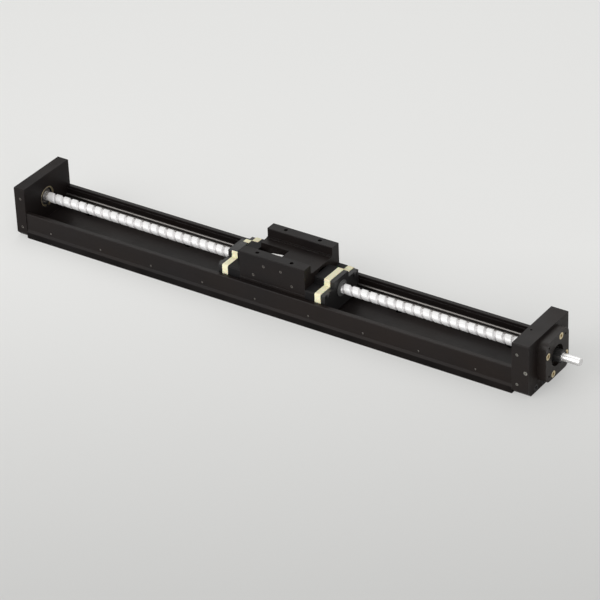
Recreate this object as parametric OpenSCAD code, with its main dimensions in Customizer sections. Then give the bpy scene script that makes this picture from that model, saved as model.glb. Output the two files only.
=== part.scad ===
// Ball screw linear axis: a U-shaped rail with an inner carriage, driven by a ball screw.
// X runs along the rail towards the drive end, Z is up, and the rail stands on Z = 0.

/* [Rail] */
// Length of the rail between its two end plates
rail_len = 570; // [480:10:800]
// Width of the rail across its foot
rail_w = 75; // [72:1:90]
// Height of the rail's side walls
rail_h = 28.5; // [27:0.5:30]
// Height of the square part of the foot
foot_h = 7.4; // [5:0.1:8]
// How far the foot stands out from each wall
foot_step = 0.9; // [0.4:0.1:1.2]
// Height of the sloped ledge on top of the foot
ledge_h = 3; // [1:0.5:4]
// Thickness of the side walls
wall_t = 5.4; // [5.2:0.1:7]
// Thickness of the channel's floor
floor_t = 9; // [8:0.5:10]
// Height of the wider lip at the top of the channel
lip_h = 2.9; // [1:0.1:4]
// How far the lip is cut back into each wall
lip_step = 0.8; // [0.3:0.1:1.5]
// Width of the shallow relief under the rail
relief_w = 30; // [10:1:40]
// Depth of the relief under the rail
relief_d = 0.6; // [0.2:0.1:1]
// Spacing of the mounting holes along the rail
mount_pitch = 125; // [80:5:140]
// Distance of the mounting holes from the rail's side
mount_inset = 14.5; // [14.5:0.5:20]
// Largest number of rows of mounting holes
mount_rows = 5; // [2:1:5]
// Bore of each mounting hole
mount_hole_d = 5.5; // [4.5:0.1:6]
// Counterbore for each mounting bolt's head
mount_head_d = 9.5; // [8:0.1:11]
// Depth of that counterbore
mount_head_h = 5.2; // [3:0.1:6]
// Spacing of the small tapped holes along both sides
side_pitch = 62.5; // [40:0.5:65]
// Largest number of small tapped holes on each side
side_holes = 9; // [2:1:9]
// Distance of the first side hole from the support end plate
side_first = 30; // [10:1:40]
// Height of the side holes
side_hole_z = 13.4; // [12:0.1:15]
// Bore of the side holes
side_hole_d = 2.5; // [2:0.1:3]
// Depth of the side holes
side_hole_depth = 2; // [1:0.1:2.5]

/* [Guideways] */
// Height of the steel strip that the carriage's balls run on
way_h = 8; // [7:0.5:9]
// Thickness of the strip in the rail
way_t = 4; // [3.6:0.1:4.4]
// How far the strip stands out of the channel's wall
way_proud = 1.6; // [1.2:0.1:2]
// Height of the balls above the channel's floor
way_rise = 7; // [6.5:0.1:8]
// Chamfer along the strip's top and bottom edges
way_chamfer = 0.8; // [0.3:0.1:1.2]
// Gap between the rail's strip and the carriage's strip
way_gap = 1.4; // [1.2:0.1:1.8]
// Diameter of the guide balls
guide_ball_d = 3.175; // [2.8:0.025:3.5]
// Distance from one guide ball to the next
guide_ball_pitch = 3.6; // [3.5:0.1:5]

/* [Ball screw] */
// Height of the screw's axis above the bottom
axis_z = 31; // [30:0.5:33]
// Outer diameter of the screw
screw_d = 10; // [9:0.1:11]
// Travel of the carriage for one turn
lead = 10; // [8:1:20]
// Width of the ball groove at the screw's surface
groove_w = 3.2; // [2.6:0.1:3.6]
// Depth of the ball groove
groove_d = 0.85; // [0.6:0.05:1]
// Diameter of the journals at both ends of the screw
journal_d = 8; // [6:0.5:8]
// Length of the drive shaft beyond the motor flange
stub_len = 25; // [15:1:40]
// Chamfer at the end of the drive shaft
stub_chamfer = 0.6; // [0.2:0.1:1.5]
// Gap between the thread and the support end plate
neck_len = 2; // [2:0.5:6]

/* [End plates] */
// Height of both end plates
end_h = 56.4; // [55:0.2:66]
// Thickness of the plate at the support end
support_t = 12.5; // [12:0.5:20]
// Thickness of the block at the drive end
block_t = 18; // [17:0.5:26]
// Chamfer on the bottom corners of both plates
end_chamfer = 5; // [2:0.5:6]
// Chamfer on the top corners of both plates
end_edge = 0.8; // [0.3:0.1:2]
// Side length of the square motor flange
flange_w = 43; // [43:0.5:46]
// Thickness of the motor flange
flange_t = 9.5; // [9:0.5:14]
// Corner radius of the motor flange
flange_r = 7; // [3:0.5:9]
// Diameter of the pilot recess that centres a motor
pilot_d = 22; // [20:0.5:24]
// Depth of the pilot recess
pilot_depth = 5; // [3:0.5:6]
// Hole spacing of the tapped holes for a motor
motor_gauge = 31; // [30:0.5:32]
// Bore of the tapped holes for a motor
motor_hole_d = 2.5; // [2:0.1:3]
// Radius of the circle of screws that hold the flange
flange_screw_r = 18.6; // [18:0.1:18.8]
// Angle of the first of those screws above the horizontal
flange_screw_angle = 67; // [60:1:72]

/* [Bearings] */
// Outer diameter of the support bearing
support_od = 22; // [20:0.5:22]
// Width of the support bearing
support_bw = 6; // [5:0.5:7]
// Outer diameter of the two drive bearings
drive_od = 22; // [20:0.5:22]
// Width of each drive bearing
drive_bw = 7; // [6:0.5:7.5]
// Thickness of the retaining ring in front of the support bearing
clip_t = 1.2; // [0.8:0.1:1.5]

/* [Carriage] */
// Distance of the carriage from the middle of the rail
carriage_offset = 13; // [-60:1:60]
// Length of the carriage block
block_len = 76; // [72:1:100]
// Clearance between the carriage and the channel's floor
under_gap = 1.2; // [0.8:0.1:2]
// Clearance between the carriage and each channel wall
side_gap = 0.6; // [0.5:0.1:1]
// Clearance between the table's lower edge and the top of the walls
table_gap = 2.5; // [1.5:0.1:4]
// How far the block stands out below the table's lower edge
table_step = 0.6; // [0.3:0.1:0.8]
// Width of each raised ridge on the table
ridge_w = 11.5; // [10:0.5:13]
// Height of the ridges above the ledge at their base
ridge_h = 9.2; // [9:0.2:14]
// Width of the ledge at the base of each ridge
ridge_ledge_w = 2.2; // [1:0.1:3]
// Height of that ledge
ridge_ledge_h = 0.8; // [0.3:0.1:1.2]
// Thickness of the table above the ball nut's bore
nut_cover = 8.4; // [8:0.2:11]
// Width of the slot in the table over the ball nut
slot_w = 14; // [10:0.5:16]
// Length of that slot from the support side of the block
slot_len = 33.5; // [30:0.5:40]
// Spacing of the table's tapped holes along the rail
table_pitch_x = 40; // [30:1:60]
// Distance of the table's tapped holes from the side of the table
table_hole_inset = 5.6; // [4.5:0.1:7]
// Bore of the table's tapped holes
table_hole_d = 4.2; // [3:0.1:5]
// Depth of the table's tapped holes
table_hole_depth = 7.5; // [5:0.5:8]

/* [End caps and wipers] */
// Length of the end cap on the support side
support_cap_t = 14.5; // [8:0.5:16]
// Length of the end cap on the drive side
drive_cap_t = 11; // [8:0.5:14]
// Thickness of each wiper
wiper_t = 6.7; // [3:0.1:8]
// Thickness of each cover plate
cover_t = 4.7; // [1.5:0.1:6]
// Height of the shoulders above the table's lower edge
shoulder_rise = 6.5; // [6.5:0.5:10]
// Half width of the raised middle over the screw
neck_half_w = 13.2; // [13:0.2:16]
// Height of the raised middle above the screw's axis
neck_rise = 13.5; // [13:0.5:17]
// Chamfer on the corners of the caps' outline
cap_chamfer = 1; // [0.4:0.1:2]
// Clearance between each wiper and the screw
wiper_gap = 0.4; // [0.3:0.1:1]

/* [Ball nut] */
// Diameter of the ball nut's body
nut_d = 22; // [20:0.5:22]
// Length of the ball nut's body
nut_len = 34; // [30:1:36]
// Distance of the nut from the support side of the block
nut_inset = 7; // [6:0.5:12]
// Diameter of the nut's flange
nut_flange_d = 31; // [30.5:0.1:31]
// Thickness of the nut's flange
nut_flange_t = 5; // [4:0.5:6]
// Radius of the circle of screws that hold the nut
nut_screw_r = 13.2; // [13:0.1:13.3]
// Diameter of the balls in the nut
nut_ball_d = 2; // [1.6:0.1:2]
// Turns of balls in the nut
nut_turns = 1.5; // [1:0.5:2]
// Outer diameter of the return tube
tube_d = 3.6; // [3:0.1:3.8]

/* [Fasteners] */
// Diameter of the small screws
screw3_d = 3; // [2.5:0.1:3.2]
// Head diameter of the small screws
head3_d = 5.5; // [5:0.1:6]
// Head height of the small screws
head3_h = 3; // [2:0.1:3.2]
// Diameter of the screws in the rail's floor
screw4_d = 4; // [3:0.1:4.2]
// Head diameter of the screws in the rail's floor
head4_d = 7; // [6:0.1:7.5]
// Head height of the screws in the rail's floor
head4_h = 4; // [3:0.1:4.5]
// Diameter of the nut's screws
screw2_d = 2.5; // [2:0.1:2.5]
// Head diameter of the nut's screws
head2_d = 4.4; // [4:0.1:4.5]
// Height of the low heads on the cover plates and the nut
low_head_h = 1.6; // [1.2:0.1:2]
// Reach of the screws into the piece that they hold on to
screw_bite = 9; // [6:1:12]

/* [Hidden] */
$fn = 48;

eps = 0.01;        // overlap of two cutters, or of two parts of one solid
seat_gap = 0.02;   // radial gap of a ring in its seat or on its journal
thread_gap = 0.05; // radial gap round a screw's shank in its tapped hole
clear_gap = 0.2;   // radial gap round a screw's shank in a through hole
roll_gap = 0.3;    // gap between a ball and a groove that it rolls along
edge = 0.5;        // small chamfer on extruded edges
set_back = 0.3;    // how far a set screw lies below the surface round it
socket_share = 0.5; // width across a hexagon socket's corners as a share of its head
socket_depth = 0.55; // depth of that socket as a share of the head's height

// Stations along X. The rail's support end is at rail_x0.
total_len = support_t + rail_len + block_t + flange_t + stub_len;
rail_x0 = support_t - total_len / 2;
rail_x1 = rail_x0 + rail_len;
block_x1 = rail_x1 + block_t;
flange_x1 = block_x1 + flange_t;
stub_x1 = flange_x1 + stub_len;
carriage_x = (rail_x0 + rail_x1) / 2 + carriage_offset;
block_half = block_len / 2;

// Rail section
wall_y = rail_w / 2 - foot_step;
channel_y = wall_y - wall_t;
way_z = floor_t + way_rise;
way_top = way_z + way_h / 2;
way_face_y = channel_y - way_proud;
channel_corner = 2;
wall_screw_z = (way_top + rail_h) / 2;
wall_screw_y = (wall_y + channel_y) / 2;
mount_y = rail_w / 2 - mount_inset;
floor_screw_z = floor_t / 2;
end_margin = 20; // shortest distance from a hole in the rail to the rail's end
rows = min(mount_rows, 1 + floor((rail_len - 2 * end_margin) / mount_pitch));
side_count = min(side_holes, 1 + floor((rail_len - side_first - end_margin / 2) / side_pitch));

// Carriage section
strip_face_y = way_face_y - way_gap;
ball_y = (way_face_y + strip_face_y) / 2;
under_z = floor_t + under_gap;
table_z = rail_h + table_gap;
table_y = channel_y - side_gap;
band_y = table_y + table_step;
band_z = rail_h - lip_h + side_gap;
ledge_z = axis_z + nut_d / 2 + nut_cover;
ridge_z = ledge_z + ridge_h;
ridge_y = table_y - ridge_w;
deck_z = ledge_z - ridge_ledge_h;
shoulder_z = table_z + shoulder_rise;
neck_z = axis_z + neck_rise;
waist_z = way_top + 1;

cap_side_step = 0.4; // how far the lower part of a cap lies behind the carriage's strips
cap_gap = 1.5;     // gap between an end cap and the screw
cover_gap = 1;     // gap between a cover plate and the screw
cover_inset = 0.6; // how far a cover plate's outline lies inside the wiper's
shoulder_screw_inset = 6.7;
low_screw_inset = 8;
low_screw_rise = 5;
side_upper_x = 10;
side_upper_drop = 1.2;
side_lower_x = 22.5;
side_lower_rise = 5.6;
side_set_len = 3.4;

// Ball screw
thread_x0 = rail_x0 + neck_len;
thread_x1 = rail_x1 - 2;
segments = 12;
groove_pts = [[0, groove_d], [0.28, 0.72 * groove_d], [0.5, 0]];
end_neck = 0.6;       // length of the neck at each end of the thread
end_neck_step = 0.15; // how far that neck is turned down below the groove
thread_steps = floor((thread_x1 - thread_x0 - 2 * end_neck) / lead * segments) - segments;
nut_x0 = carriage_x - block_half + nut_inset;
nut_x1 = nut_x0 + nut_len;
nut_ball_r = screw_d / 2 - groove_d + 0.2 + nut_ball_d / 2;
nut_bore_r = screw_d / 2 + wiper_gap;
circuit_len = nut_turns * lead;
circuit_x0 = (nut_x0 + nut_x1 - circuit_len) / 2;
balls_per_turn = floor(2 * PI * nut_ball_r / (nut_ball_d * 1.08));
nut_flat = 0.6; // depth of the flat under the return tube
tube_z = axis_z + nut_d / 2 - nut_flat + tube_d / 2;
// right end of the slot over the tube; it always reaches past the tube
slot_x1 = max(carriage_x - block_half + slot_len, circuit_x0 + circuit_len + tube_d / 2 + roll_gap);

// Bearings
support_ball_d = 3.4;
support_ring_t = 2;
support_pitch_d = (support_od + journal_d) / 2;
drive_ball_d = 3.4;
drive_ring_t = 2;
drive_pitch_d = (drive_od + journal_d) / 2;
support_clip_x = rail_x0 - clip_t - 0.8;
support_x1 = support_clip_x;
support_x0 = support_x1 - support_bw;
drive_lip = block_t - 2 * drive_bw;
drive_x0 = rail_x1 + drive_lip;
seat_lip = 2;
clip_groove = 0.8;
clip_gap_w = 5;
clip_inner_step = 1.7;
flange_bore_d = 17.6;
journal_step = 1;
journal_end = 1.8;
journal_x0 = support_x0 - journal_end;
lock_nut_proud = 5.8; // how far the lock nut stands out of the motor flange
lock_nut_t = flange_t + lock_nut_proud;
lock_nut_d = 13;
lock_notch_w = 3;
thread_relief = 1;
spacer_d = 11.6;
spacer_x0 = rail_x1 - 1;

// End plate details
side_screw_d = 3;
side_screw_inset = 5.5;
side_screw_len = 5;
side_screw_end = 12;
side_screw_z = [side_screw_end, end_h - side_screw_end];
plug_d = 4.2;
plug_inset = 3.4;
plug_drop = 4.2;  // how far the plug lies below the screw's axis
plug_z = axis_z - plug_drop;
top_hole_x = 4.6;
top_hole_y = 9;
top_hole_depth = 6;

// ---- Helpers ----

// Both halves of an outline that mirrors about the vertical
function both_sides(half) = concat(half, [for (i = [len(half) - 1:-1:0]) [-half[i][0], half[i][1]]]);

// Extrudes a (y, z) outline along X, from x
module section(x, len) {
    translate([x, 0, 0]) rotate([90, 0, 90]) linear_extrude(len) children();
}

// Turns a shape made along +Z so that it points along +X at (x, y, z)
module along_x(x, y = 0, z = axis_z) {
    translate([x, y, z]) rotate([0, 90, 0]) children();
}

// A tube from z = 0 to z = len
module tube(outer_d, inner_d, len) {
    difference() {
        cylinder(d = outer_d, h = len);
        translate([0, 0, -1]) cylinder(d = inner_d, h = len + 2);
    }
}

// Socket screw: its head stands on z = 0 and its shank reaches down
module cap_screw(shank_d, head_d, head_h, reach) {
    difference() {
        union() {
            cylinder(d = head_d, h = head_h);
            translate([0, 0, -reach]) cylinder(d = shank_d, h = reach + head_h / 2);
        }
        translate([0, 0, head_h * (1 - socket_depth)])
            cylinder(d = head_d * socket_share, h = head_h, $fn = 6);
    }
}

// Set screw below z = 0, with a socket in its top
module set_screw(d, len) {
    difference() {
        translate([0, 0, -len]) cylinder(d = d, h = len);
        translate([0, 0, -len / 3]) cylinder(d = d * 0.55, h = len, $fn = 6);
    }
}

// Hole for a cap screw: clearance bore, counterbore and the way in for the tool
module screw_cutter(shank_d, head_d, head_h, through) {
    translate([0, 0, -through]) cylinder(d = shank_d + 2 * clear_gap, h = through + eps);
    cylinder(d = head_d + 2 * clear_gap, h = head_h + 1);
}

// Ball bearing ring between two diameters, with a groove for the balls
module bearing_ring(outer_d, inner_d, w, pitch_d, ball_d, gap) {
    rotate_extrude() difference() {
        translate([inner_d / 2, 0]) square([(outer_d - inner_d) / 2, w]);
        translate([pitch_d / 2, w / 2]) circle(d = ball_d + 2 * gap);
    }
}

module bearing_balls(w, pitch_d, ball_d) {
    count = floor(PI * pitch_d / (ball_d * 1.3));
    for (i = [0:count - 1])
        rotate([0, 0, 360 * i / count]) translate([pitch_d / 2, 0, w / 2]) sphere(d = ball_d);
}

// Places children at the four corners of a (y, z) rectangle on a plane at x
module at_corners(half_y, half_z, centre_z) {
    for (sy = [-1, 1], sz = [-1, 1]) translate([0, sy * half_y, centre_z + sz * half_z]) children();
}

// ---- Rail ----

module rail_outline() {
    polygon(both_sides([
        [relief_w / 2, relief_d],
        [relief_w / 2 + relief_d, 0],
        [rail_w / 2 - edge, 0],
        [rail_w / 2, edge],
        [rail_w / 2, foot_h],
        [wall_y, foot_h + ledge_h],
        [wall_y, rail_h - edge],
        [wall_y - edge, rail_h],
        [channel_y + lip_step + edge / 2, rail_h],
        [channel_y + lip_step, rail_h - edge / 2],
        [channel_y + lip_step, rail_h - lip_h],
        [channel_y, rail_h - lip_h],
        [channel_y, floor_t + channel_corner],
        [channel_y - channel_corner, floor_t]
    ]));
}

// Where the screws of an end plate enter the rail: small ones in the walls of the support
// end (dir -1), and large ones in the floor, two at the support end and four at the drive end
module rail_screw_places(dir) {
    for (side = [-1, 1]) {
        if (dir < 0) translate([0, side * wall_screw_y, wall_screw_z]) children(0);
        for (y = dir < 0 ? [mount_y] : [mount_y, mount_y / 2.5])
            translate([0, side * y, floor_screw_z]) children(1);
    }
}

module rail() {
    first_row = (rail_x0 + rail_x1) / 2 - mount_pitch * (rows - 1) / 2;
    color([0.10, 0.10, 0.10]) difference() {
        section(rail_x0, rail_len) rail_outline();
        // seats of the two guide strips
        for (side = [-1, 1]) translate([rail_x0 - 1, side * (way_face_y + way_t / 2) - way_t / 2, way_z - way_h / 2])
            cube([rail_len + 2, way_t, way_h]);
        // counterbored mounting holes
        for (row = [0:rows - 1], side = [-1, 1])
            translate([first_row + row * mount_pitch, side * mount_y, 0]) {
                translate([0, 0, -1]) cylinder(d = mount_hole_d, h = floor_t + 2);
                translate([0, 0, floor_t - mount_head_h]) cylinder(d = mount_head_d, h = mount_head_h + 1);
            }
        // small tapped holes along both sides
        for (i = [0:side_count - 1], side = [-1, 1])
            translate([rail_x0 + side_first + i * side_pitch, side * (wall_y - side_hole_depth), side_hole_z])
                rotate([-90 * side, 0, 0]) cylinder(d = side_hole_d, h = side_hole_depth + 1);
        // tapped holes for the end plates
        for (dir = [-1, 1]) translate([dir < 0 ? rail_x0 - 1 : rail_x1 - screw_bite - 1, 0, 0])
            rail_screw_places(dir) {
                rotate([0, 90, 0]) cylinder(d = screw3_d + 2 * thread_gap, h = screw_bite + 2);
                rotate([0, 90, 0]) cylinder(d = screw4_d + 2 * thread_gap, h = screw_bite + 2);
            }
    }
}

// Outline of a guide strip whose ball groove faces -y, with the face at y = 0
module strip_outline(groove_r, groove_y) {
    difference() {
        polygon([
            [way_chamfer, -way_h / 2], [way_t, -way_h / 2], [way_t, way_h / 2],
            [way_chamfer, way_h / 2], [0, way_h / 2 - way_chamfer], [0, way_chamfer - way_h / 2]
        ]);
        translate([groove_y, 0]) circle(r = groove_r);
    }
}

module way_strip(side) {
    color([0.45, 0.45, 0.46]) section(rail_x0, rail_len) scale([side, 1]) translate([way_face_y, way_z])
        strip_outline(guide_ball_d / 2 + roll_gap, ball_y - way_face_y);
}
module way_strip_near() { way_strip(-1); }
module way_strip_far() { way_strip(1); }

// ---- End plates ----

module end_outline() {
    polygon(both_sides([
        [rail_w / 2 - end_chamfer, 0],
        [rail_w / 2, end_chamfer],
        [rail_w / 2, end_h - end_edge],
        [rail_w / 2 - end_edge, end_h]
    ]));
}

// Holes that both end plates share, on a plate from x0 to x1. Heads are on the side that dir points to.
module end_plate_holes(x0, x1, dir) {
    inner = dir > 0 ? x0 : x1;
    outer = dir > 0 ? x1 : x0;
    through = x1 - x0 + 1;
    rail_screw_places(dir) {
        translate([outer - dir * head3_h, 0, 0]) rotate([0, 90 * dir, 0])
            screw_cutter(screw3_d, head3_d, head3_h, through);
        translate([outer - dir * head4_h, 0, 0]) rotate([0, 90 * dir, 0])
            screw_cutter(screw4_d, head4_d, head4_h, through);
    }
    // set screws in both narrow sides, close to the rail
    for (side = [-1, 1], z = side_screw_z)
        translate([inner + dir * side_screw_inset, side * (rail_w / 2 - side_screw_len - 1), z])
            rotate([-90 * side, 0, 0]) cylinder(d = side_screw_d + 2 * thread_gap, h = side_screw_len + 2);
}

// Set screws in both narrow sides of an end plate, just below its surface
module end_side_screws(x) {
    color([0.55, 0.55, 0.53]) for (side = [-1, 1], z = side_screw_z)
        translate([x, side * (rail_w / 2 - set_back), z]) rotate([-90 * side, 0, 0])
            set_screw(side_screw_d, side_screw_len);
}

module support_end_plate() {
    color([0.09, 0.09, 0.09]) difference() {
        section(rail_x0 - support_t, support_t) end_outline();
        end_plate_holes(rail_x0 - support_t, rail_x0, -1);
        // bearing seat, open to the rail, and the through hole behind it
        along_x(support_x0) cylinder(d = support_od + 2 * seat_gap, h = rail_x0 - support_x0 + 1);
        along_x(rail_x0 - support_t - 1) cylinder(d = support_od - 2 * seat_lip, h = support_t + 1);
        // groove of the retaining ring
        along_x(support_clip_x) cylinder(d = support_od + 2 * clip_groove, h = clip_t);
    }
}

module support_retaining_ring() {
    color([0.72, 0.60, 0.38]) along_x(support_clip_x + eps) difference() {
        tube(support_od + 2 * (clip_groove - seat_gap), support_od - 2 * clip_inner_step, clip_t - 2 * eps);
        // the gap between the ring's ends
        translate([0, -clip_gap_w / 2, -1]) cube([support_od, clip_gap_w, clip_t + 2]);
    }
}

module support_bearing_outer_ring() {
    color([0.75, 0.75, 0.76]) along_x(support_x0)
        bearing_ring(support_od, support_od - 2 * support_ring_t, support_bw, support_pitch_d, support_ball_d, thread_gap);
}

module support_bearing_balls() {
    color([0.8, 0.8, 0.8]) along_x(support_x0) bearing_balls(support_bw, support_pitch_d, support_ball_d);
}

// Screws that hold an end plate: heads on the side that dir points to
module end_plate_screws(x0, x1, dir) {
    outer = dir > 0 ? x1 : x0;
    reach = x1 - x0 + screw_bite;
    color([0.12, 0.12, 0.12]) rail_screw_places(dir) {
        translate([outer - dir * head3_h, 0, 0]) rotate([0, 90 * dir, 0])
            cap_screw(screw3_d, head3_d, head3_h, reach - head3_h);
        translate([outer - dir * head4_h, 0, 0]) rotate([0, 90 * dir, 0])
            cap_screw(screw4_d, head4_d, head4_h, reach - head4_h);
    }
}
module support_plate_screws() { end_plate_screws(rail_x0 - support_t, rail_x0, -1); }
module drive_block_screws() { end_plate_screws(rail_x1, block_x1, 1); }
module support_side_screws() { end_side_screws(rail_x0 - side_screw_inset); }
module drive_side_screws() { end_side_screws(rail_x1 + side_screw_inset); }

// The screws on a circle that hold the motor flange
module flange_screw_places() {
    for (i = [0:3]) rotate([flange_screw_angle + 90 * i, 0, 0]) translate([0, flange_screw_r, 0]) children();
}

module drive_end_block() {
    color([0.09, 0.09, 0.09]) difference() {
        section(rail_x1, block_t) end_outline();
        end_plate_holes(rail_x1, block_x1, 1);
        // seat of the bearing pair, and the lip in front of it
        along_x(drive_x0) cylinder(d = drive_od + 2 * seat_gap, h = 2 * drive_bw + 1);
        along_x(rail_x1 - 1) cylinder(d = drive_od - 3 * seat_lip, h = drive_lip + 2);
        // tapped holes for the motor flange
        translate([block_x1 - screw_bite, 0, axis_z]) flange_screw_places()
            rotate([0, 90, 0]) cylinder(d = screw4_d + 2 * thread_gap, h = screw_bite + 1);
        // tapped hole in the top face
        translate([rail_x1 + top_hole_x, -top_hole_y, end_h - top_hole_depth])
            cylinder(d = side_hole_d, h = top_hole_depth + 1);
        // hole of the plug that closes the grease way
        translate([block_x1 - plug_inset, -rail_w / 2 - 1, plug_z])
            rotate([-90, 0, 0]) cylinder(d = plug_d + 2 * thread_gap, h = side_screw_len + 1);
    }
}

module block_side_plug() {
    color([0.55, 0.52, 0.45]) translate([block_x1 - plug_inset, -rail_w / 2 + set_back, plug_z])
        rotate([90, 0, 0]) set_screw(plug_d, side_screw_len - 0.6);
}

module drive_outer_ring(i) {
    color([0.75, 0.75, 0.76]) along_x(drive_x0 + i * drive_bw)
        bearing_ring(drive_od, drive_od - 2 * drive_ring_t, drive_bw, drive_pitch_d, drive_ball_d, thread_gap);
}
module drive_bearing_outer_ring_a() { drive_outer_ring(0); }
module drive_bearing_outer_ring_b() { drive_outer_ring(1); }

module drive_bearing_balls() {
    color([0.8, 0.8, 0.8]) for (i = [0, 1]) along_x(drive_x0 + i * drive_bw)
        bearing_balls(drive_bw, drive_pitch_d, drive_ball_d);
}

// Square with round corners, drawn with true arcs
module round_square(w, r) {
    square([w - 2 * r, w], center = true);
    square([w, w - 2 * r], center = true);
    for (sx = [-1, 1], sy = [-1, 1]) translate([sx * (w / 2 - r), sy * (w / 2 - r)]) circle(r = r);
}

module motor_flange() {
    gauge = motor_gauge / 2;
    color([0.11, 0.11, 0.11]) difference() {
        section(block_x1, flange_t) translate([0, axis_z]) round_square(flange_w, flange_r);
        along_x(block_x1 - 1) cylinder(d = flange_bore_d, h = flange_t + 2);
        along_x(flange_x1 - pilot_depth) cylinder(d = pilot_d, h = pilot_depth + 1);
        // tapped holes for a motor
        translate([block_x1 - 1, 0, 0]) at_corners(gauge, gauge, axis_z)
            rotate([0, 90, 0]) cylinder(d = motor_hole_d, h = flange_t + 2);
        // the flange's own screws
        translate([flange_x1 - head4_h, 0, axis_z]) flange_screw_places()
            rotate([0, 90, 0]) screw_cutter(screw4_d, head4_d, head4_h, flange_t);
    }
}

module flange_screws() {
    reach = flange_t - head4_h + screw_bite - 1;
    color([0.78, 0.66, 0.40]) translate([flange_x1 - head4_h, 0, axis_z]) flange_screw_places()
        rotate([0, 90, 0]) cap_screw(screw4_d, head4_d, head4_h, reach);
}

// ---- Ball screw ----

// One pitch of the screw's surface as [distance along the pitch, radius], from groove to groove
function pitch_profile() = concat(
    [for (p = groove_pts) [p[0] * groove_w, screw_d / 2 - p[1]]],
    [[lead - 0.5 * groove_w, screw_d / 2], [lead - 0.28 * groove_w, screw_d / 2 - 0.72 * groove_d]]
);

// A point of the helical surface: k counts the segments round the screw, j the profile's points
function helix_point(k, p) = [
    thread_x0 + end_neck + lead * k / segments + p[0],
    p[1] * cos(360 * k / segments),
    axis_z + p[1] * sin(360 * k / segments)
];

// A point of the flat ring that closes the thread at x
function ring_point(x, k, r) = [x, r * cos(360 * k / segments), axis_z + r * sin(360 * k / segments)];

module ball_screw() {
    profile = pitch_profile();
    m = len(profile);
    n = segments;
    last = thread_steps;
    neck_r = profile[0][1] - end_neck_step;
    // rows of the helix, then one more turn of groove points, then the two end rings
    rows = [for (k = [0:last], j = [0:m - 1]) helix_point(k, profile[j])];
    tail = [for (k = [last + 1:last + n]) helix_point(k, profile[0])];
    ring_x0 = [for (i = [0:n - 1]) ring_point(thread_x0, i, neck_r)];
    ring_x1 = [for (i = [0:n - 1]) ring_point(thread_x1, last + i, neck_r)];
    tail_i = len(rows);
    ring0_i = tail_i + n;
    ring1_i = ring0_i + n;
    // index of point j in row k; the last point of a row is the first one a turn later
    function at(k, j) = j < m ? (k <= last ? k * m + j : tail_i + k - last - 1) : at(k + n, 0);
    surface = [for (k = [0:last - 1], j = [0:m - 1], t = [0, 1])
        t == 0 ? [at(k, j), at(k, j + 1), at(k + 1, j + 1)] : [at(k, j), at(k + 1, j + 1), at(k + 1, j)]];
    neck0 = [for (i = [0:n - 1], t = [0, 1])
        t == 0 ? [ring0_i + i, at(i, 0), at(i + 1, 0)] : [ring0_i + i, at(i + 1, 0), ring0_i + (i + 1) % n]];
    neck1 = [for (i = [0:n - 1], t = [0, 1])
        t == 0 ? [at(last + i, 0), ring1_i + i, ring1_i + (i + 1) % n]
            : [at(last + i, 0), ring1_i + (i + 1) % n, at(last + i + 1, 0)]];
    start_step = concat([ring0_i], [for (j = [m:-1:0]) at(0, j)]);
    end_step = concat([ring1_i], [for (j = [0:m]) at(last, j)]);
    color([0.86, 0.86, 0.88]) polyhedron(
        points = concat(rows, tail, ring_x0, ring_x1),
        faces = concat(surface, neck0, neck1, [start_step, end_step],
            [[for (i = [0:n - 1]) ring0_i + i]], [[for (i = [n - 1:-1:0]) ring1_i + i]]));
}

module support_journal() {
    shoulder_d = journal_d + 2 * journal_step;
    color([0.80, 0.80, 0.82]) difference() {
        union() {
            along_x(support_x1) cylinder(d = shoulder_d, h = thread_x0 - support_x1);
            along_x(journal_x0) cylinder(d = journal_d, h = thread_x0 - journal_x0);
        }
        // groove of the journal's clip
        along_x(support_x0 - 1) tube(journal_d + 1, journal_d - 1, 0.8);
    }
}

module journal_clip() {
    slot = journal_d - 1.6;
    color([0.3, 0.3, 0.3]) along_x(support_x0 - 1 + 0.05) difference() {
        tube(journal_d + 3, journal_d - 1 + 2 * seat_gap, 0.7);
        translate([0, -slot / 2, -1]) cube([journal_d, slot, 3]);
    }
}

module drive_shaft() {
    r = journal_d / 2;
    len = stub_x1 - thread_x1;
    // relief groove between the lock nut's thread and the free end
    groove_x = block_x1 + lock_nut_t + 0.3 - thread_x1;
    color([0.85, 0.85, 0.87]) along_x(thread_x1) rotate_extrude() polygon([
        [0, 0], [r, 0], [r, groove_x], [r - 0.5, groove_x],
        [r - 0.5, groove_x + thread_relief], [r, groove_x + thread_relief],
        [r, len - stub_chamfer], [r - stub_chamfer, len], [0, len]
    ]);
}

module screw_spacer() {
    color([0.6, 0.6, 0.6]) along_x(spacer_x0) tube(spacer_d, journal_d + 2 * seat_gap, drive_x0 - spacer_x0);
}

module bearing_lock_nut() {
    color([0.25, 0.25, 0.25]) along_x(block_x1) difference() {
        tube(lock_nut_d, journal_d + 2 * seat_gap, lock_nut_t);
        for (i = [0:3]) rotate([0, 0, 90 * i + 45])
            translate([lock_nut_d / 2 - 1, -lock_notch_w / 2, -1]) cube([2, lock_notch_w, lock_nut_t + 2]);
    }
}

module support_bearing_inner_ring() {
    color([0.75, 0.75, 0.76]) along_x(support_x0)
        bearing_ring(journal_d + 2 * support_ring_t, journal_d + 2 * seat_gap,
            support_bw, support_pitch_d, support_ball_d, roll_gap);
}

module drive_inner_ring(i) {
    color([0.75, 0.75, 0.76]) along_x(drive_x0 + i * drive_bw)
        bearing_ring(journal_d + 2 * drive_ring_t, journal_d + 2 * seat_gap,
            drive_bw, drive_pitch_d, drive_ball_d, roll_gap);
}
module drive_bearing_inner_ring_a() { drive_inner_ring(0); }
module drive_bearing_inner_ring_b() { drive_inner_ring(1); }

// ---- Carriage ----

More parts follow.
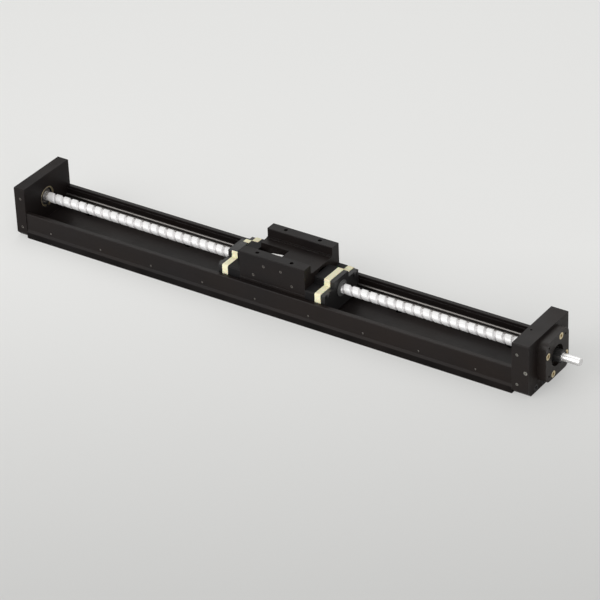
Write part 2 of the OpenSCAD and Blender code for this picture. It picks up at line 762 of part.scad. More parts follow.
module carriage_outline() {
    polygon(both_sides([
        [strip_face_y, under_z],
        [strip_face_y, waist_z],
        [table_y, waist_z],
        [table_y, band_z],
        [band_y, band_z + table_step],
        [band_y, table_z],
        [table_y, table_z],
        [table_y, ridge_z - edge],
        [table_y - edge, ridge_z],
        [ridge_y + edge, ridge_z],
        [ridge_y, ridge_z - edge],
        [ridge_y, ledge_z],
        [ridge_y - ridge_ledge_w, ledge_z],
        [ridge_y - ridge_ledge_w, deck_z]
    ]));
}

// Where the screws of an end cap enter the block: two in the shoulders, two low down
module cap_screw_places() {
    for (side = [-1, 1]) {
        translate([0, side * (table_y - shoulder_screw_inset), (table_z + shoulder_z) / 2]) children();
        translate([0, side * (strip_face_y - low_screw_inset), under_z + low_screw_rise]) children();
    }
}

// Where the small screws sit in both sides of the block: [from the middle, height]
side_points = [
    [-side_upper_x, ledge_z - side_upper_drop], [side_upper_x, ledge_z - side_upper_drop],
    [-side_lower_x, table_z + side_lower_rise], [side_lower_x, table_z + side_lower_rise]
];

module carriage_side_places() {
    for (side = [-1, 1], p = side_points) translate([carriage_x + p[0], side * table_y, p[1]])
        rotate([-90 * side, 0, 0]) children();
}

module carriage_block() {
    x0 = carriage_x - block_half;
    x1 = carriage_x + block_half;
    color([0.11, 0.11, 0.11]) difference() {
        section(x0, block_len) carriage_outline();
        // seats of the two steel strips
        for (side = [-1, 1]) translate([x0 - 1, side * (strip_face_y - way_t / 2) - way_t / 2, way_z - way_h / 2])
            cube([block_len + 2, way_t, way_h]);
        // bore of the ball nut, and the wider bore of its flange
        along_x(x0 - 1) cylinder(d = nut_d + 2 * clear_gap, h = nut_x1 - x0 + 1 + eps);
        along_x(nut_x1) cylinder(d = nut_flange_d + 2 * clear_gap, h = x1 - nut_x1 + 1);
        // slot in the table, over the return tube
        translate([x0 - 1, -slot_w / 2, axis_z]) cube([slot_x1 - x0 + 1, slot_w, ridge_z]);
        // tapped holes in the ridges
        for (sx = [-1, 1], sy = [-1, 1])
            translate([carriage_x + sx * table_pitch_x / 2, sy * (table_y - table_hole_inset), ridge_z - table_hole_depth])
                cylinder(d = table_hole_d, h = table_hole_depth + 1);
        // small screws in both sides
        carriage_side_places() translate([0, 0, -side_set_len - edge])
            cylinder(d = side_screw_d + 2 * thread_gap, h = side_set_len + 1);
        // screws of the end caps
        for (x = [x0 - 1, x1 - screw_bite]) translate([x, 0, 0]) cap_screw_places()
            rotate([0, 90, 0]) cylinder(d = screw3_d + 2 * thread_gap, h = screw_bite + 1);
        // screws of the ball nut
        along_x(nut_x1 - screw_bite) nut_screw_places()
            cylinder(d = screw2_d + 2 * thread_gap, h = screw_bite + 1);
    }
}

module carriage_side_screws() {
    color([0.5, 0.5, 0.48]) carriage_side_places() translate([0, 0, -set_back]) set_screw(side_screw_d, side_set_len);
}

module carriage_strip(side) {
    color([0.45, 0.45, 0.46]) section(carriage_x - block_half, block_len)
        scale([side, 1]) translate([strip_face_y, way_z]) scale([-1, 1])
            strip_outline(guide_ball_d / 2 + thread_gap, strip_face_y - ball_y);
}
module carriage_strip_near() { carriage_strip(-1); }
module carriage_strip_far() { carriage_strip(1); }

module guide_balls(side) {
    count = floor(block_len / guide_ball_pitch) - 1;
    start = carriage_x - guide_ball_pitch * (count - 1) / 2;
    color([0.85, 0.85, 0.86]) for (i = [0:count - 1])
        translate([start + i * guide_ball_pitch, side * ball_y, way_z]) sphere(d = guide_ball_d, $fn = 24);
}
module guide_balls_near() { guide_balls(-1); }
module guide_balls_far() { guide_balls(1); }

// ---- End caps, wipers and cover plates ----

// Stepped outline that fits the channel below and rises over the screw
module cap_outline(inset = 0) {
    low_y = strip_face_y - cap_side_step - inset;
    wide_y = table_y - inset;
    neck_y = neck_half_w - inset;
    c = cap_chamfer;
    polygon(both_sides([
        [low_y, under_z + inset],
        [low_y, waist_z],
        [wide_y, waist_z + 1],
        [wide_y, shoulder_z - inset - c],
        [wide_y - c, shoulder_z - inset],
        [neck_y, shoulder_z - inset],
        [neck_y, neck_z - inset - c],
        [neck_y - c, neck_z - inset]
    ]));
}

// A plate of that outline from x, with a hole for the screw and four for its fasteners
module cap_plate(x, t, hole_r, inset = 0) {
    difference() {
        section(x, t) cap_outline(inset);
        along_x(x - 1) cylinder(r = hole_r, h = t + 2);
        translate([x - 1, 0, 0]) cap_screw_places()
            rotate([0, 90, 0]) cylinder(d = screw3_d + 2 * clear_gap, h = t + 2);
    }
}

// Distance from the carriage's middle to the far face of each layer
function cap_end(dir) = block_half + (dir > 0 ? drive_cap_t : support_cap_t);
function wiper_end(dir) = cap_end(dir) + wiper_t;
function cover_end(dir) = wiper_end(dir) + cover_t;

module end_cap(dir) {
    x = carriage_x + (dir > 0 ? block_half : -cap_end(dir));
    color([0.08, 0.08, 0.08]) cap_plate(x, cap_end(dir) - block_half, screw_d / 2 + cap_gap);
}
module wiper(dir) {
    x = carriage_x + (dir > 0 ? cap_end(dir) : -wiper_end(dir));
    color([0.93, 0.90, 0.72]) cap_plate(x, wiper_t, screw_d / 2 + wiper_gap);
}
module cover_plate(dir) {
    x = carriage_x + (dir > 0 ? wiper_end(dir) : -cover_end(dir));
    color([0.12, 0.12, 0.12]) cap_plate(x, cover_t, screw_d / 2 + cover_gap, cover_inset);
}
module cap_screws(dir) {
    reach = cover_end(dir) - block_half + screw_bite - 1;
    color([0.14, 0.14, 0.14]) translate([carriage_x + dir * cover_end(dir), 0, 0]) cap_screw_places()
        rotate([0, 90 * dir, 0]) cap_screw(screw3_d, head3_d, low_head_h, reach);
}
module end_cap_support_side() { end_cap(-1); }
module end_cap_drive_side() { end_cap(1); }
module wiper_support_side() { wiper(-1); }
module wiper_drive_side() { wiper(1); }
module cover_plate_support_side() { cover_plate(-1); }
module cover_plate_drive_side() { cover_plate(1); }
module cap_screws_support_side() { cap_screws(-1); }
module cap_screws_drive_side() { cap_screws(1); }

// ---- Ball nut ----

module nut_screw_places() {
    for (i = [0:3]) rotate([0, 0, 45 + 90 * i]) translate([nut_screw_r, 0, 0]) children();
}

// Centres of the two holes where the return tube enters the nut
tube_x = [circuit_x0, circuit_x0 + circuit_len];

module ball_nut() {
    chamber_r = nut_ball_r + nut_ball_d / 2 + thread_gap;
    flat_z = axis_z + nut_d / 2 - nut_flat;
    color([0.70, 0.70, 0.72]) difference() {
        union() {
            along_x(nut_x0) cylinder(d = nut_d, h = nut_len + eps);
            along_x(nut_x1) cylinder(d = nut_flange_d, h = nut_flange_t);
        }
        along_x(nut_x0 - 1) cylinder(r = nut_bore_r, h = nut_len + nut_flange_t + 2);
        // chamber in which the balls run round the screw
        along_x(circuit_x0 - nut_ball_d) cylinder(r = chamber_r, h = circuit_len + 2 * nut_ball_d);
        // flat for the return tube, and the two holes that it enters
        translate([nut_x0 - 1, -nut_d / 2, flat_z]) cube([nut_len + 1, nut_d, nut_d]);
        for (x = tube_x) translate([x, 0, axis_z]) cylinder(d = tube_d + 2 * thread_gap, h = nut_d);
        along_x(nut_x1 - 1) nut_screw_places()
            cylinder(d = screw2_d + 2 * clear_gap, h = nut_flange_t + 2);
    }
}

module nut_balls() {
    count = floor(nut_turns * balls_per_turn);
    color([0.85, 0.85, 0.86]) for (i = [1:count - 1]) {
        x = circuit_x0 + circuit_len * i / count;
        // the ball lies in the groove of the screw
        turn = 360 * (x - thread_x0 - end_neck) / lead;
        translate([x, nut_ball_r * cos(turn), axis_z + nut_ball_r * sin(turn)])
            sphere(d = nut_ball_d, $fn = 24);
    }
}

// Bent tube that carries the balls back over the nut
module nut_return_tube() {
    leg = tube_z - axis_z - nut_bore_r - 1;
    color([0.88, 0.88, 0.90]) {
        along_x(tube_x[0], 0, tube_z) cylinder(d = tube_d, h = circuit_len);
        for (x = tube_x) translate([x, 0, tube_z]) {
            sphere(d = tube_d);
            translate([0, 0, -leg]) cylinder(d = tube_d, h = leg);
        }
    }
}

module nut_screws() {
    reach = nut_flange_t + screw_bite - 1;
    color([0.14, 0.14, 0.14]) along_x(nut_x1 + nut_flange_t) nut_screw_places()
        cap_screw(screw2_d, head2_d, low_head_h, reach);
}

// ---- The model ----

rail();
way_strip_near();
way_strip_far();
support_end_plate();
support_bearing_outer_ring();
support_bearing_balls();
support_retaining_ring();
support_plate_screws();
support_side_screws();
drive_end_block();
drive_bearing_outer_ring_a();
drive_bearing_outer_ring_b();
drive_bearing_balls();
drive_block_screws();
drive_side_screws();
block_side_plug();
motor_flange();
flange_screws();
ball_screw();
support_journal();
drive_shaft();
screw_spacer();
bearing_lock_nut();
support_bearing_inner_ring();
drive_bearing_inner_ring_a();
drive_bearing_inner_ring_b();
journal_clip();
carriage_block();
carriage_strip_near();
carriage_strip_far();
guide_balls_near();
guide_balls_far();
carriage_side_screws();
ball_nut();
nut_balls();
nut_return_tube();
nut_screws();
end_cap_support_side();
wiper_support_side();
cover_plate_support_side();
cap_screws_support_side();
end_cap_drive_side();
wiper_drive_side();
cover_plate_drive_side();
cap_screws_drive_side();
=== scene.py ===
"""Finishes and small parts of a ball screw linear axis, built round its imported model."""

from math import cos, pi, radians, sin, tau

import bmesh
import bpy
from bpy.props import FloatProperty, FloatVectorProperty, IntProperty, PointerProperty
from mathutils import Matrix, Vector


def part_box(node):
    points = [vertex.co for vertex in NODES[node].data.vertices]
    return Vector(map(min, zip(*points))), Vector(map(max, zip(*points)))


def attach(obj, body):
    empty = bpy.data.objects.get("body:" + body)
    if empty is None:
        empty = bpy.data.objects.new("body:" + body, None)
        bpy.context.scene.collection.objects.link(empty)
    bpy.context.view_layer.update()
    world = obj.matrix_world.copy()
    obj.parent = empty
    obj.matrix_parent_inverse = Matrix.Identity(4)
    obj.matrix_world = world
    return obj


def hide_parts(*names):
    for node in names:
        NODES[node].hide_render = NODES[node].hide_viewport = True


bl_info = {
    "name": "Ball Screw Linear Axis",
    "version": (1, 0, 0),
    "blender": (4, 5, 0),
    "location": "View3D > Sidebar > Linear Axis",
    "description": "Finishes and small parts of a ball screw driven linear axis",
    "category": "Object",
}

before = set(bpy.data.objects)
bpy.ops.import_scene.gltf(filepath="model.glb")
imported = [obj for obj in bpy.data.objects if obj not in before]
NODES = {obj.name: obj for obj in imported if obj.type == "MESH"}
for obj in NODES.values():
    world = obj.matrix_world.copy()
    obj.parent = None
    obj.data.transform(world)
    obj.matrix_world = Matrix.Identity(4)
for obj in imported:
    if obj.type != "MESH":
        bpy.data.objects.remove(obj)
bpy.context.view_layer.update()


def middle(node):
    """The centre of a node's box at rest."""
    low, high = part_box(node)
    return (Vector(low) + Vector(high)) / 2


# Height of the screw's axis
AXIS_Z = middle("drive_shaft").z


# ---- Settings ----


def colour(name, description, default):
    """A colour that a user can change."""
    return FloatVectorProperty(
        name=name, description=description, subtype="COLOR", size=3, min=0, max=1, default=default
    )


def length(name, description, default):
    """A length in metres that a user can change."""
    return FloatProperty(
        name=name, description=description, default=default, min=0, unit="LENGTH", precision=5
    )


def power(name, description, default):
    """The power of a light in watts."""
    return FloatProperty(name=name, description=description, default=default, min=0, subtype="POWER")


def direction(name, description, degrees):
    """An angle, given in degrees."""
    return FloatProperty(name=name, description=description, default=radians(degrees), subtype="ANGLE")


class FinishSettings(bpy.types.PropertyGroup):
    """Colours of the finishes"""

    anodised: colour("Anodised", "Black anodised aluminium", (0.0090, 0.0074, 0.0075))
    flange: colour("Flange", "Brownish black of the anodised motor flange", (0.017, 0.0143, 0.0132))
    anodised_edge: colour("Anodised edge", "Edges where the layer is thinner", (0.055, 0.052, 0.05))
    anodised_warm: colour("Anodised, warm", "Brownish patches in the layer", (0.0135, 0.0088, 0.0066))
    moulded: colour("Moulded", "Black moulded plastic of the end caps", (0.008, 0.0075, 0.0078))
    scraper: colour("Scraper", "Grey scraper rings round the screw", (0.10, 0.10, 0.098))
    bright_steel: colour("Bright steel", "Polished screw, shaft and balls", (0.87, 0.86, 0.855))
    # The groove's darker colour is partly a grease film and partly painted shade, for the dark walls that
    # the groove reflects.
    groove_film_and_shade: colour("Groove film", "Greasy film in the screw's ball groove", (0.74, 0.72, 0.72))
    ground_steel: colour("Ground steel", "Ground rings and nut body", (0.56, 0.555, 0.545))
    guide_steel: colour("Guide steel", "Hardened strips that the balls run on", (0.22, 0.207, 0.198))
    dull_steel: colour("Dull steel", "Set screws and the plug", (0.36, 0.35, 0.32))
    dark_steel: colour("Dark steel", "Set screws of the carriage and the side holes", (0.17, 0.155, 0.14))
    plated_steel: colour("Plated steel", "Satin plating of the return tube", (0.86, 0.84, 0.82))
    black_oxide: colour("Black oxide", "Blackened screws and the lock nut", (0.022, 0.021, 0.021))
    yellow_plating: colour("Yellow plating", "Plated flange screws and retaining ring", (0.80, 0.68, 0.44))
    wiper: colour("Wiper", "Pale wipers at both ends of the carriage", (0.91, 0.855, 0.60))
    floor_far: colour("Floor, far", "Floor behind the axis", (0.865, 0.865, 0.849))
    # the floor's near colour is painted shade
    floor_near_painted_shade: colour("Floor, near", "Floor in front of the axis", (0.622, 0.622, 0.610))


class RailSettings(bpy.types.PropertyGroup):
    """Places and sizes of the small screws along the rail's walls"""

    side_holes: IntProperty(name="Side holes", description="Tapped holes along each wall", default=9, min=0)
    side_first: length("First hole", "From the rail's support end to the first hole", 0.030)
    side_pitch: length("Pitch", "Distance between the holes", 0.0625)
    side_height: length("Height", "Height of the holes", 0.0134)
    side_face: length("Wall face", "Distance of the walls' outer faces from the middle", 0.0366)
    plug_radius: length("Plug radius", "Radius of a small screw", 0.00105)
    plug_depth: length("Plug depth", "How deep a small screw reaches into the wall", 0.0015)
    plug_set_back: length("Plug set back", "How far a small screw lies under the wall's face", 0.00025)
    plug_edge: length("Plug edge", "Chamfer of a small screw", 0.00015)
    socket_radius: length("Socket radius", "Radius of the socket at its mouth", 0.0006)
    socket_floor: length("Socket floor", "From the wall's face to the floor of the socket", 0.0009)
    socket_taper: length("Socket taper", "How much narrower the socket's floor is", 0.0001)


class ScrewSettings(bpy.types.PropertyGroup):
    """Sizes of the ball screw"""

    lead: length("Lead", "Travel for one turn of the screw", 0.010)
    radius: length("Radius", "Radius over the thread's lands", 0.005)
    groove_half: length("Half groove", "Half the width of the ball groove", 0.00175)
    groove_depth: length("Groove depth", "Depth of the ball groove", 0.0011)
    groove_start: length("Groove start", "Where the groove starts, from the thread's support end", 0.0048)
    land_edge: length("Land edge", "Broken edge between the groove and a land", 0.00012)
    neck: length("Neck", "Plain neck at each end of the thread", 0.0006)
    neck_step: length("Neck step", "From the groove's bottom down to the neck", 0.0001)
    neck_wall: length("Neck wall", "Thickness of the ring that makes the neck", 0.0008)
    segments: IntProperty(name="Segments", description="Faces round the screw", default=60, min=12, max=120)


class NutSettings(bpy.types.PropertyGroup):
    """Sizes of the nut's balls and of their return tube"""

    balls: IntProperty(name="Balls", description="Balls in the nut's circuit", default=21, min=2, max=60)
    ball_radius: length("Ball radius", "Radius of a ball of the nut", 0.001)
    ball_circle: length("Ball circle", "Distance of the balls' centres from the screw's axis", 0.00535)
    tube_rise: length("Tube rise", "How far the return tube stands over its solid", 0.0014)
    tube_skew: length("Tube skew", "How far each leg of the return tube lies beside the axis", 0.0014)
    tube_bend: FloatProperty(
        name="Tube bend", description="Radius of the tube's bends, in tube radii", default=1.5, min=1
    )


class EndCapSettings(bpy.types.PropertyGroup):
    """Sizes of the scrapers round the screw and of the clip over a wiper"""

    scraper_gap: length("Scraper gap", "Gap between a scraper and the screw's lands", 0.0003)
    scraper_wall: length("Scraper wall", "Wall of the scraper's sleeve", 0.0003)
    sleeve_depth: length("Sleeve depth", "How deep the sleeve reaches into the cover plate", 0.0015)
    flange_radius: length("Flange radius", "Radius of the scraper's flange", 0.0085)
    flange_rim: length("Flange rim", "Rounding of the flange's rim", 0.0005)
    flange_height: length("Flange height", "Thickness of the scraper's flange", 0.0009)
    lip_radius: length("Lip radius", "Radius of the lip where it leaves the flange", 0.0066)
    lip_length: length("Lip length", "How far the lip stands out of the cover plate", 0.0023)
    clip_near: length("Clip, near", "From the axis to the clip's near end", 0.0132)
    clip_far: length("Clip, far", "From the axis to the clip's far end", 0.0060)
    clip_overhang: length("Clip overhang", "How far the clip reaches past the wiper", 0.0006)
    clip_gap: length("Clip gap", "Gap between the clip and the wiper", 0.0001)
    clip_height: length("Clip thickness", "Thickness of the clip", 0.0007)
    clip_corner: length("Clip corner", "Size of the clip's broken corners", 0.0004)


class StageSettings(bpy.types.PropertyGroup):
    """Camera and light"""

    azimuth: direction("Azimuth", "Camera's bearing, from the near side towards the drive end", 34.711)
    elevation: direction("Elevation", "Camera's height above the horizon", 31.57)
    roll: direction("Roll", "Camera's roll", -2.388)
    distance: length("Distance", "Camera's distance from its target", 3.04512)
    lens: FloatProperty(name="Lens", description="Focal length in millimetres", default=186.99, min=1)
    key_power: power("Key", "Power of the soft light overhead", 8)
    fill_power: power("Fill", "Power of the soft light at the near side", 44)
    end_power: power("End fill", "Power of the soft light beyond the drive end", 15)
    air_strength: FloatProperty(
        name="Air", description="Strength of the even light from all round", default=0.40, min=0
    )
    # where and how the floor's painted shade darkens it
    floor_turn: direction("Floor turn", "Direction in which the floor turns darker", -30.2)
    floor_dark: FloatProperty(
        name="Floor, dark", description="Where the floor is darkest", default=-0.48, unit="LENGTH"
    )
    floor_pale: FloatProperty(
        name="Floor, pale", description="Where the floor is palest", default=0.10, unit="LENGTH"
    )
    floor_even: FloatProperty(
        name="Floor, even", description="Share of the floor's look that no shadow darkens", default=0.5,
        min=0, max=1, subtype="FACTOR"
    )
    floor_size: length("Floor size", "From the middle of the floor to its edges", 6)


CAMERA_TARGET = Vector((0.00999, -0.00915, 0.0085))

# Name, place, aim, size, and the setting that holds its power
SOFT_LIGHTS = (
    ("overhead_softbox", (-0.25, 0.75, 1.6), (0, 0, 0), 1.9, "key_power"),
    ("near_softbox", (-0.8, -2.15, 0.85), (0, 0, 0.03), 2.4, "fill_power"),
    ("drive_end_softbox", (1.6, -1.6, 0.9), (0.1, 0, 0.03), 1.2, "end_power"),
)


# ---- Materials ----

# Width of the worn band along an edge
WORN_EDGE = 0.0005


class Finish:
    """Builds one node material; steps are chained by their sockets."""

    # a Mix node's sockets for two colours and their mixture
    FIRST, SECOND, MIXED = 6, 7, 2

    def __init__(self, name):
        self.material = bpy.data.materials.new(name)
        self.material.use_nodes = True
        self.tree = self.material.node_tree
        self.shader = self.tree.nodes["Principled BSDF"]
        self.place = self.add("ShaderNodeTexCoord").outputs["Object"]

    def add(self, kind, **values):
        """Adds a node and sets its properties."""
        node = self.tree.nodes.new(kind)
        for name, value in values.items():
            setattr(node, name, value)
        return node

    def join(self, source, target):
        """Links an output socket to an input socket."""
        self.tree.links.new(source, target)

    def set(self, **values):
        """Sets constants on the shader's own sockets."""
        for name, value in values.items():
            self.shader.inputs[name.replace("_", " ")].default_value = value

    def stretched(self, x, y, z):
        """Object coordinates, scaled along each axis."""
        node = self.add("ShaderNodeMapping")
        node.inputs["Scale"].default_value = (x, y, z)
        self.join(self.place, node.inputs["Vector"])
        return node.outputs["Vector"]

    def noise(self, scale, detail=2, vector=None, roughness=0.5):
        """A noise factor, with scale in cycles for each metre."""
        node = self.add("ShaderNodeTexNoise")
        node.inputs["Scale"].default_value = scale
        node.inputs["Detail"].default_value = detail
        node.inputs["Roughness"].default_value = roughness
        self.join(vector or self.place, node.inputs["Vector"])
        return node.outputs["Fac"]

    def spread(self, source, low, high, start=0.3, end=0.7):
        """Maps a factor onto a range of numbers."""
        node = self.add("ShaderNodeMapRange")
        for name, value in (("From Min", start), ("From Max", end), ("To Min", low), ("To Max", high)):
            node.inputs[name].default_value = value
        self.join(source, node.inputs["Value"])
        return node.outputs["Result"]

    def blend(self, source, first, second):
        """Mixes two colours, or a colour and a socket, by a factor."""
        node = self.add("ShaderNodeMix", data_type="RGBA")
        self.join(source, node.inputs["Factor"])
        for index, value in ((self.FIRST, first), (self.SECOND, second)):
            if isinstance(value, bpy.types.NodeSocket):
                self.join(value, node.inputs[index])
            else:
                node.inputs[index].default_value = (*value, 1)
        return node.outputs[self.MIXED]

    def height(self):
        """The height above the floor in metres."""
        split = self.add("ShaderNodeSeparateXYZ")
        self.join(self.place, split.inputs[0])
        return split.outputs["Z"]

    def reach(self, height):
        """The distance from an axis along X at a height."""
        shift = self.add("ShaderNodeMapping")
        shift.inputs["Location"].default_value = (0, 0, -height)
        shift.inputs["Scale"].default_value = (0, 1, 1)
        self.join(self.place, shift.inputs["Vector"])
        size = self.add("ShaderNodeVectorMath", operation="LENGTH")
        self.join(shift.outputs["Vector"], size.inputs[0])
        return size.outputs["Value"]

    def times(self, first, second):
        """The product of two factors."""
        node = self.add("ShaderNodeMath", operation="MULTIPLY")
        self.join(first, node.inputs[0])
        self.join(second, node.inputs[1])
        return node.outputs[0]

    def edges(self, radius):
        """1 along sharp edges and 0 on flat faces, from normals rounded over a radius."""
        bevel = self.add("ShaderNodeBevel", samples=4)
        bevel.inputs["Radius"].default_value = radius
        dot = self.add("ShaderNodeVectorMath", operation="DOT_PRODUCT")
        self.join(bevel.outputs["Normal"], dot.inputs[0])
        self.join(self.add("ShaderNodeNewGeometry").outputs["Normal"], dot.inputs[1])
        return self.spread(dot.outputs["Value"], 1, 0, start=0.86, end=0.995)

    def relief(self, source, strength, distance, rounding=None):
        """Bump from a height, over edges that are rounded by a small radius."""
        bump = self.add("ShaderNodeBump")
        bump.inputs["Strength"].default_value = strength
        bump.inputs["Distance"].default_value = distance
        self.join(source, bump.inputs["Height"])
        if rounding:
            bevel = self.add("ShaderNodeBevel", samples=4)
            bevel.inputs["Radius"].default_value = rounding
            self.join(bevel.outputs["Normal"], bump.inputs["Normal"])
        self.join(bump.outputs["Normal"], self.shader.inputs["Normal"])

    def paint(self, colour_socket, roughness_socket):
        """Joins the colour and the roughness, and gives the finished material."""
        self.join(colour_socket, self.shader.inputs["Base Color"])
        self.join(roughness_socket, self.shader.inputs["Roughness"])
        return self.material


def scaled(rgb, factor):
    """A paler or darker version of a colour."""
    return tuple(min(1.0, value * factor) for value in rgb)


def anodised_material(finishes, name, rgb, gloss, rough, streaks=0.0, painted_shade_height=0.0):
    """Anodised aluminium with pale edges and warm patches.

    streaks is how strongly the extrusion lines along X show, and painted_shade_height is the height up to
    which patches of painted shade darken the colour and weaken the reflection, for the shade near the
    floor.
    """
    f = Finish(name)
    f.set(Metallic=0.0, IOR=1.5, Specular_IOR_Level=gloss)
    cloud = f.noise(9, 3)
    grain = f.noise(2600, 2)
    base = f.blend(f.spread(cloud, 0, 1), scaled(rgb, 0.85), scaled(rgb, 1.15))
    warmth = f.noise(22, 3, f.stretched(0.5, 1, 1))
    base = f.blend(f.spread(warmth, 0, 0.7), base, finishes.anodised_warm)
    if streaks:
        lines = f.noise(1, 3, f.stretched(5, 1500, 1500), roughness=0.65)
        base = f.blend(f.spread(lines, 0, streaks, start=0.45, end=0.75), base, scaled(rgb, 2.0))
    wear = f.times(f.edges(WORN_EDGE), f.spread(f.noise(160, 3), 0.25, 1))
    base = f.blend(f.spread(wear, 0, 0.9, start=0, end=1), base, finishes.anodised_edge)
    # Painted shade: below this height the colour is darkened in patches and the specular tint lowered,
    # standing in for the contact shadow and the dark floor that the lower walls reflect.
    if painted_shade_height:
        fade = 0.0003
        band = f.spread(f.height(), 1, 0, start=painted_shade_height - fade, end=painted_shade_height)
        patches = f.spread(f.noise(30, 3), 0.45, 1)
        painted_shade = f.times(band, patches)
        base = f.blend(painted_shade, base, scaled(rgb, 0.35))
        f.join(f.blend(painted_shade, (1, 1, 1), (0.35, 0.32, 0.3)), f.shader.inputs["Specular Tint"])
    roughness = f.spread(f.noise(38, 4), rough - 0.06, rough + 0.08)
    f.relief(grain, strength=0.18, distance=0.00004, rounding=0.0003)
    return f.paint(base, roughness)


def steel_material(name, rgb, smooth, rough, along=None, metallic=1.0, marks=0.25, ior=2.5):
    """Ground or polished steel, between two roughnesses; along stretches its marks along an axis."""
    f = Finish(name)
    f.set(Metallic=metallic, IOR=ior)
    vector = f.stretched(*along) if along else None
    lines = f.noise(1 if along else 900, 3, vector, roughness=0.6)
    cloud = f.noise(60, 3)
    base = f.blend(f.spread(cloud, 0, 1), scaled(rgb, 0.92), rgb)
    base = f.blend(f.spread(lines, 0, marks, start=0.4, end=0.8), base, scaled(rgb, 0.6))
    f.relief(lines, strength=0.12, distance=0.00003, rounding=0.00015)
    return f.paint(base, f.spread(lines, smooth, rough))


def screw_material(finishes, settings):
    """Ground lands and a darker ball groove, partly a grease film and partly painted shade for the dark
    walls it reflects.
    """
    f = Finish("polished_screw")
    f.set(Metallic=0.15, IOR=1.7)
    steel, film_and_shade = finishes.bright_steel, finishes.groove_film_and_shade
    marks = f.noise(900, 3, roughness=0.6)
    lands = f.blend(f.spread(f.noise(60, 3), 0, 1), scaled(steel, 0.94), steel)
    # partly grease and partly painted shade: the groove is coloured darker than the lands
    groove = f.blend(f.spread(f.noise(240, 3), 0, 1), film_and_shade, scaled(film_and_shade, 0.6))
    bottom = settings.radius - settings.groove_depth
    shoulder = settings.radius - 0.15 * settings.groove_depth
    level = f.spread(f.reach(AXIS_Z), 0, 1, start=bottom, end=shoulder)
    f.relief(marks, strength=0.12, distance=0.00003, rounding=0.00015)
    return f.paint(f.blend(level, groove, lands), f.spread(marks, 0.38, 0.5))


def moulded_material(name, rgb, edge):
    """Moulded plastic with fine pores and paler edges."""
    f = Finish(name)
    f.set(IOR=1.5, Specular_IOR_Level=0.13)
    pores = f.noise(1500, 3)
    base = f.blend(f.spread(f.noise(25, 2), 0, 1), scaled(rgb, 0.85), scaled(rgb, 1.3))
    base = f.blend(f.spread(f.edges(WORN_EDGE), 0, 0.7, start=0, end=1), base, edge)
    f.relief(pores, strength=0.3, distance=0.00005, rounding=0.0004)
    return f.paint(base, f.spread(pores, 0.5, 0.62))


def wiper_material(finishes):
    """Pale urethane with a felt-like grain and soiled patches."""
    f = Finish("cream_wiper")
    f.set(IOR=1.45, Specular_IOR_Level=0.3, Subsurface_Weight=0.12, Subsurface_Scale=0.002)
    fibres = f.noise(1100, 4, roughness=0.7)
    stain = f.noise(150, 3)
    base = f.blend(f.spread(fibres, 0, 1), scaled(finishes.wiper, 0.9), scaled(finishes.wiper, 1.06))
    base = f.blend(f.spread(stain, 0, 0.22, start=0.5, end=0.8), base, scaled(finishes.wiper, 0.5))
    f.relief(fibres, strength=0.35, distance=0.00006, rounding=0.0004)
    return f.paint(base, f.spread(stain, 0.55, 0.72))


MATERIALS = {}


def materials():
    """Makes every finish once and keeps it by name."""
    if MATERIALS:
        return MATERIALS
    s = bpy.context.scene.axis_finishes
    MATERIALS.update(
        # the extrusion gets painted shade on its lower walls, up to 7.4 mm
        extruded=anodised_material(
            s, "black_anodised_extrusion", s.anodised, gloss=0.15, rough=0.34, streaks=0.3, painted_shade_height=0.0074
        ),
        plate=anodised_material(s, "black_anodised_plate", s.anodised, gloss=0.12, rough=0.5),
        drive_block=anodised_material(s, "black_anodised_drive_block", s.anodised, gloss=0.19, rough=0.46),
        block=anodised_material(s, "black_anodised_block", s.anodised, gloss=0.15, rough=0.42),
        flange=anodised_material(s, "black_anodised_flange", s.flange, gloss=0.25, rough=0.42),
        moulded=moulded_material("black_moulded_plastic", s.moulded, s.anodised_edge),
        scraper=moulded_material("grey_scraper", s.scraper, scaled(s.scraper, 1.5)),
        wiper=wiper_material(s),
        screw=screw_material(s, bpy.context.scene.axis_screw),
        bright=steel_material(
            "bright_steel", s.bright_steel, 0.32, 0.42, metallic=0.3, marks=0.10, ior=1.8
        ),
        shaft=steel_material(
            "turned_shaft", s.bright_steel, 0.22, 0.32, metallic=0.75, marks=0.10, ior=1.8
        ),
        ground=steel_material("ground_steel", s.ground_steel, 0.22, 0.36),
        guide=steel_material("guide_steel", s.guide_steel, 0.30, 0.42, along=(6, 2200, 2200)),
        dull=steel_material("dull_steel", s.dull_steel, 0.34, 0.5),
        dark=steel_material("dark_steel", s.dark_steel, 0.34, 0.5, metallic=0.8),
        plated=steel_material("satin_plating", s.plated_steel, 0.34, 0.46, metallic=0.35, marks=0.08),
        oxide=steel_material("black_oxide", s.black_oxide, 0.36, 0.5, metallic=0.2, ior=1.45),
        plating=steel_material("yellow_plating", s.yellow_plating, 0.28, 0.42, metallic=0.9),
    )
    return MATERIALS


def finish(material, *names):
    """Gives CAD nodes a finish."""
    for name in names:
        for slot in NODES[name].material_slots:
            slot.material = materials()[material]


# ---- Pieces ----

# Edges that turn by more than this stay sharp
SHARP_ANGLE = radians(32)


def add_piece(name, mesh_builder, material, body, replaces=()):
    """Turns a bmesh into a piece that rides on a body."""
    mesh = bpy.data.meshes.new(name)
    bmesh.ops.recalc_face_normals(mesh_builder, faces=mesh_builder.faces)
    mesh_builder.to_mesh(mesh)
    mesh_builder.free()
    for polygon in mesh.polygons:
        polygon.use_smooth = True
    mesh.set_sharp_from_angle(angle=SHARP_ANGLE)
    mesh.materials.append(materials()[material])
    piece = bpy.data.objects.new(name, mesh)
    bpy.context.scene.collection.objects.link(piece)
    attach(piece, body)
    if replaces:
        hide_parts(*replaces)
    return piece


def in_fixed_order(bm):
    """Sorts corners and faces by place, because Blender's spheres come in a new order each time."""
    for elements, place in (
        (bm.verts, lambda corner: corner.co[:]),
        (bm.faces, lambda face: face.calc_center_median()[:]),
    ):
        rank = {element: number for number, element in enumerate(sorted(elements, key=place))}
        elements.sort(key=rank.get)


